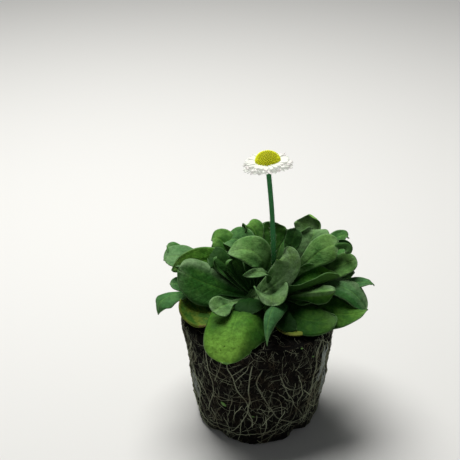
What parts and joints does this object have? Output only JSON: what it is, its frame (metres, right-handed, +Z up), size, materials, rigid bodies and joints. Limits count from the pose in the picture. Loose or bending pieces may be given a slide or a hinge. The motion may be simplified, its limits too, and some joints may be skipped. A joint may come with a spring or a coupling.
{
  "type": "english daisy plant with bare root ball",
  "caption": "English daisy lifted out of its pot: pot-shaped root ball, rosette of spoon-shaped leaves and one white flower with a yellow disc on a bare stalk.",
  "frame": {"origin": "centre of the root ball's flat underside", "axes": "+Z up along the plant, -Y towards the plant's front, +X to its right as seen from the front"},
  "size_m": [0.1133, 0.0965, 0.1563],
  "materials": {
    "potting_soil": "damp dark potting soil, matte and crumbly",
    "root": "pale tan fibrous roots, matte",
    "leaf": "living mid-green leaf with a matte waxy bloom",
    "old_leaf": "withering leaf, yellow-green with brown patches",
    "stalk": "dark green stalk, finely ribbed",
    "petal": "soft matte white petals with a faint pink tint at the tips",
    "floret": "matte bright yellow florets"
  },
  "bodies": {
    "root": {"soil": "potting_soil", "surface_roots": "root", "leaf_rosette": "leaf", "old_leaf_left": "old_leaf", "old_leaf_front": "old_leaf", "flower_stem": "stalk", "ray_petals": "petal", "disc_florets": "floret"}
  },
  "joints": []
}
